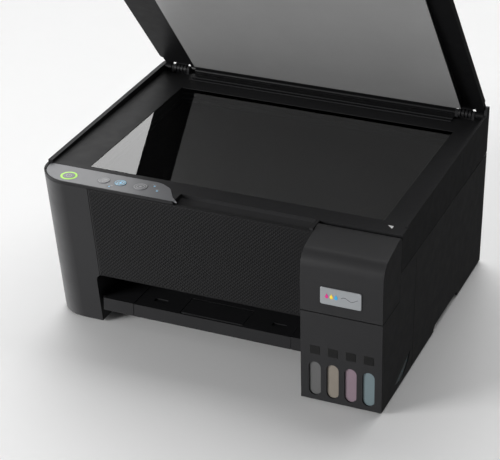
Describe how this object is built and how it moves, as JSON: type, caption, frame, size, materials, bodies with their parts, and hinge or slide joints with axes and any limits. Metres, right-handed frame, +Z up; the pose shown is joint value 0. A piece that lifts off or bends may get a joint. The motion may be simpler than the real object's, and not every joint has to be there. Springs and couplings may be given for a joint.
{
  "type": "inkjet printer",
  "caption": "Flatbed inkjet printer with a hinged document lid, a scanner glass, a front tank unit with ink windows, an output tray and a rear paper feed.",
  "frame": {"origin": "under the middle of the case, on the surface that the feet stand on", "axes": "+X to the printer's right seen from its front, +Y to its back, +Z up"},
  "size_m": [0.375, 0.3426, 0.3877],
  "materials": {
    "case": "fine-grained black plastic",
    "case_panel": "black plastic embossed with small diamonds",
    "inner": "plain black plastic",
    "glass": "clear polished",
    "fascia": "grey satin",
    "key": "grey satin",
    "power_light": "green light ring",
    "status_light": "small indicator lamps",
    "mat": "smooth grey backing sheet",
    "tank": "translucent moulding",
    "ink_black": "black ink",
    "ink_yellow": "yellow ink",
    "ink_magenta": "magenta ink",
    "ink_cyan": "cyan ink",
    "cap_black": "satin",
    "cap_yellow": "satin",
    "cap_magenta": "satin",
    "cap_cyan": "satin",
    "badge": "brushed plate",
    "feet": "matt",
    "sheet_steel": "zinc-plated sheet",
    "shaft": "ground steel with grey rollers",
    "roller_rubber": "soft rubber",
    "nylon": "natural nylon",
    "brass": "turned",
    "belt": "toothed belt",
    "motor": "plated can",
    "circuit_board": "solder mask",
    "tube": "soft tubing",
    "screw": "plated"
  },
  "bodies": {
    "base": {"base_case": "inner", "left_side_cover": "case", "right_side_cover": "case", "rear_cover": "case", "front_panel": "case_panel", "tank_housing": "case", "rubber_feet": "feet", "output_bed": "inner", "ink_tanks": "tank", "ink_black": "ink_black", "ink_yellow": "ink_yellow", "ink_magenta": "ink_magenta", "ink_cyan": "ink_cyan", "chassis_frame": "sheet_steel", "platen": "inner", "carriage_motor": "motor", "timing_belt": "belt", "feed_motor": "motor", "capping_station": "inner", "mainboard": "circuit_board", "power_supply": "inner", "ac_inlet": "inner", "ink_tubes": "tube", "case_screws": "screw"},
    "scanner": {"scanner_frame": "case", "scanner_tray": "inner", "scanner_glass": "glass", "control_panel": "fascia", "power_light": "power_light", "status_lights": "status_light", "scan_rail": "sheet_steel"},
    "lid": {"document_lid": "case", "document_mat": "mat", "lid_hinges": "inner"},
    "scan_bar": {"scan_carriage": "inner"},
    "power_key": {"power_button": "key"},
    "wifi_key": {"wifi_button": "key"},
    "copy_key": {"copy_button": "key"},
    "stop_key": {"stop_button": "key"},
    "tank_flap": {"tank_cover": "case", "badge_plate": "badge"},
    "black_cap": {"cap_black": "cap_black"},
    "yellow_cap": {"cap_yellow": "cap_yellow"},
    "magenta_cap": {"cap_magenta": "cap_magenta"},
    "cyan_cap": {"cap_cyan": "cap_cyan"},
    "carriage": {"print_carriage": "inner", "print_head": "sheet_steel"},
    "drive_pulley": {"motor_pulley": "brass"},
    "end_pulley": {"idler_pulley": "nylon"},
    "feed_shaft": {"feed_roller": "shaft"},
    "pinion": {"feed_pinion": "nylon"},
    "eject_shaft": {"eject_roller": "shaft"},
    "star_shaft": {"star_wheels": "sheet_steel"},
    "pickup_shaft": {"pickup_roller": "roller_rubber"},
    "tray": {"output_tray": "inner"},
    "stopper": {"tray_stopper": "inner"},
    "support": {"paper_support": "case"},
    "extension": {"support_extension": "case"},
    "left_guide": {"edge_guide_left": "inner"},
    "right_guide": {"edge_guide_right": "inner"}
  },
  "joints": [
    {"name": "scanner_hinge", "type": "hinge", "parent": "base", "child": "scanner", "pos_m": [0, 0.163, 0.139], "axis": [-1, 0, 0], "range_deg": [0, 30]},
    {"name": "lid_hinge", "type": "hinge", "parent": "scanner", "child": "lid", "pos_m": [0, 0.162, 0.1736], "axis": [-1, 0, 0], "range_deg": [-48.9, 40]},
    {"name": "scan_slide", "type": "slide", "parent": "scanner", "child": "scan_bar", "axis": [1, 0, 0], "range_m": [0, 0.27]},
    {"name": "tank_cover_hinge", "type": "hinge", "parent": "base", "child": "tank_flap", "pos_m": [0.147, -0.127, 0.162], "axis": [-1, 0, 0], "range_deg": [0, 85]},
    {"name": "carriage_slide", "type": "slide", "parent": "base", "child": "carriage", "axis": [1, 0, 0], "range_m": [-0.27, 0]},
    {"name": "drive_pulley_spin", "type": "hinge", "parent": "base", "child": "drive_pulley", "pos_m": [0.166, 0.042, 0.1], "axis": [0, 1, 0], "range_deg": [-5, 2310]},
    {"name": "end_pulley_spin", "type": "hinge", "parent": "base", "child": "end_pulley", "pos_m": [-0.156, 0.042, 0.1], "axis": [0, 1, 0], "range_deg": [-5, 2310]},
    {"name": "feed_spin", "type": "hinge", "parent": "base", "child": "feed_shaft", "pos_m": [0, 0.03, 0.05], "axis": [1, 0, 0], "continuous": true},
    {"name": "pinion_spin", "type": "hinge", "parent": "base", "child": "pinion", "pos_m": [-0.173, 0.05255, 0.04179], "axis": [1, 0, 0], "continuous": true},
    {"name": "eject_spin", "type": "hinge", "parent": "base", "child": "eject_shaft", "pos_m": [0, -0.042, 0.05], "axis": [1, 0, 0], "continuous": true},
    {"name": "star_spin", "type": "hinge", "parent": "base", "child": "star_shaft", "pos_m": [0, -0.042, 0.0593], "axis": [1, 0, 0], "continuous": true},
    {"name": "pickup_spin", "type": "hinge", "parent": "base", "child": "pickup_shaft", "pos_m": [0, 0.14, 0.048], "axis": [1, 0, 0], "continuous": true},
    {"name": "tray_slide", "type": "slide", "parent": "base", "child": "tray", "axis": [0, -1, 0], "range_m": [0, 0.088]},
    {"name": "stopper_hinge", "type": "hinge", "parent": "tray", "child": "stopper", "pos_m": [-0.01, -0.107, 0.0304], "axis": [1, 0, 0], "range_deg": [0, 80]},
    {"name": "support_hinge", "type": "hinge", "parent": "base", "child": "support", "pos_m": [-0.01, 0.166, 0.0465], "axis": [-1, 0, 0], "range_deg": [0, 35]},
    {"name": "extension_slide", "type": "slide", "parent": "support", "child": "extension", "axis": [0, 0, 1], "range_m": [0, 0.05]},
    {"name": "left_guide_slide", "type": "slide", "parent": "support", "child": "left_guide", "axis": [1, 0, 0], "range_m": [0, 0.045]},
    {"name": "right_guide_slide", "type": "slide", "parent": "support", "child": "right_guide", "axis": [1, 0, 0], "range_m": [-0.045, 0]},
    {"name": "black_cap_hinge", "type": "hinge", "parent": "base", "child": "black_cap", "pos_m": [0.1211, -0.1175, 0.108], "axis": [-1, 0, 0], "range_deg": [0, 70]},
    {"name": "yellow_cap_hinge", "type": "hinge", "parent": "base", "child": "yellow_cap", "pos_m": [0.1389, -0.1175, 0.108], "axis": [-1, 0, 0], "range_deg": [0, 70]},
    {"name": "magenta_cap_hinge", "type": "hinge", "parent": "base", "child": "magenta_cap", "pos_m": [0.1567, -0.1175, 0.108], "axis": [-1, 0, 0], "range_deg": [0, 70]},
    {"name": "cyan_cap_hinge", "type": "hinge", "parent": "base", "child": "cyan_cap", "pos_m": [0.1745, -0.1175, 0.108], "axis": [-1, 0, 0], "range_deg": [0, 70]},
    {"name": "power_press", "type": "slide", "parent": "scanner", "child": "power_key", "axis": [0, 0, -1], "range_m": [0, 0.0008], "stiffness_N_per_m": 300},
    {"name": "wifi_press", "type": "slide", "parent": "scanner", "child": "wifi_key", "axis": [0, 0, -1], "range_m": [0, 0.0008], "stiffness_N_per_m": 300},
    {"name": "copy_press", "type": "slide", "parent": "scanner", "child": "copy_key", "axis": [0, 0, -1], "range_m": [0, 0.0008], "stiffness_N_per_m": 300},
    {"name": "stop_press", "type": "slide", "parent": "scanner", "child": "stop_key", "axis": [0, 0, -1], "range_m": [0, 0.0008], "stiffness_N_per_m": 300}
  ],
  "couplings": [
    {"joint": "drive_pulley_spin", "follows": "carriage_slide", "rad_per_m": -144.9},
    {"joint": "end_pulley_spin", "follows": "carriage_slide", "rad_per_m": -144.9},
    {"joint": "pinion_spin", "follows": "feed_spin", "ratio": -4},
    {"joint": "eject_spin", "follows": "feed_spin", "ratio": 1.4},
    {"joint": "star_spin", "follows": "feed_spin", "ratio": -1.75},
    {"joint": "right_guide_slide", "follows": "left_guide_slide", "ratio": -1}
  ]
}
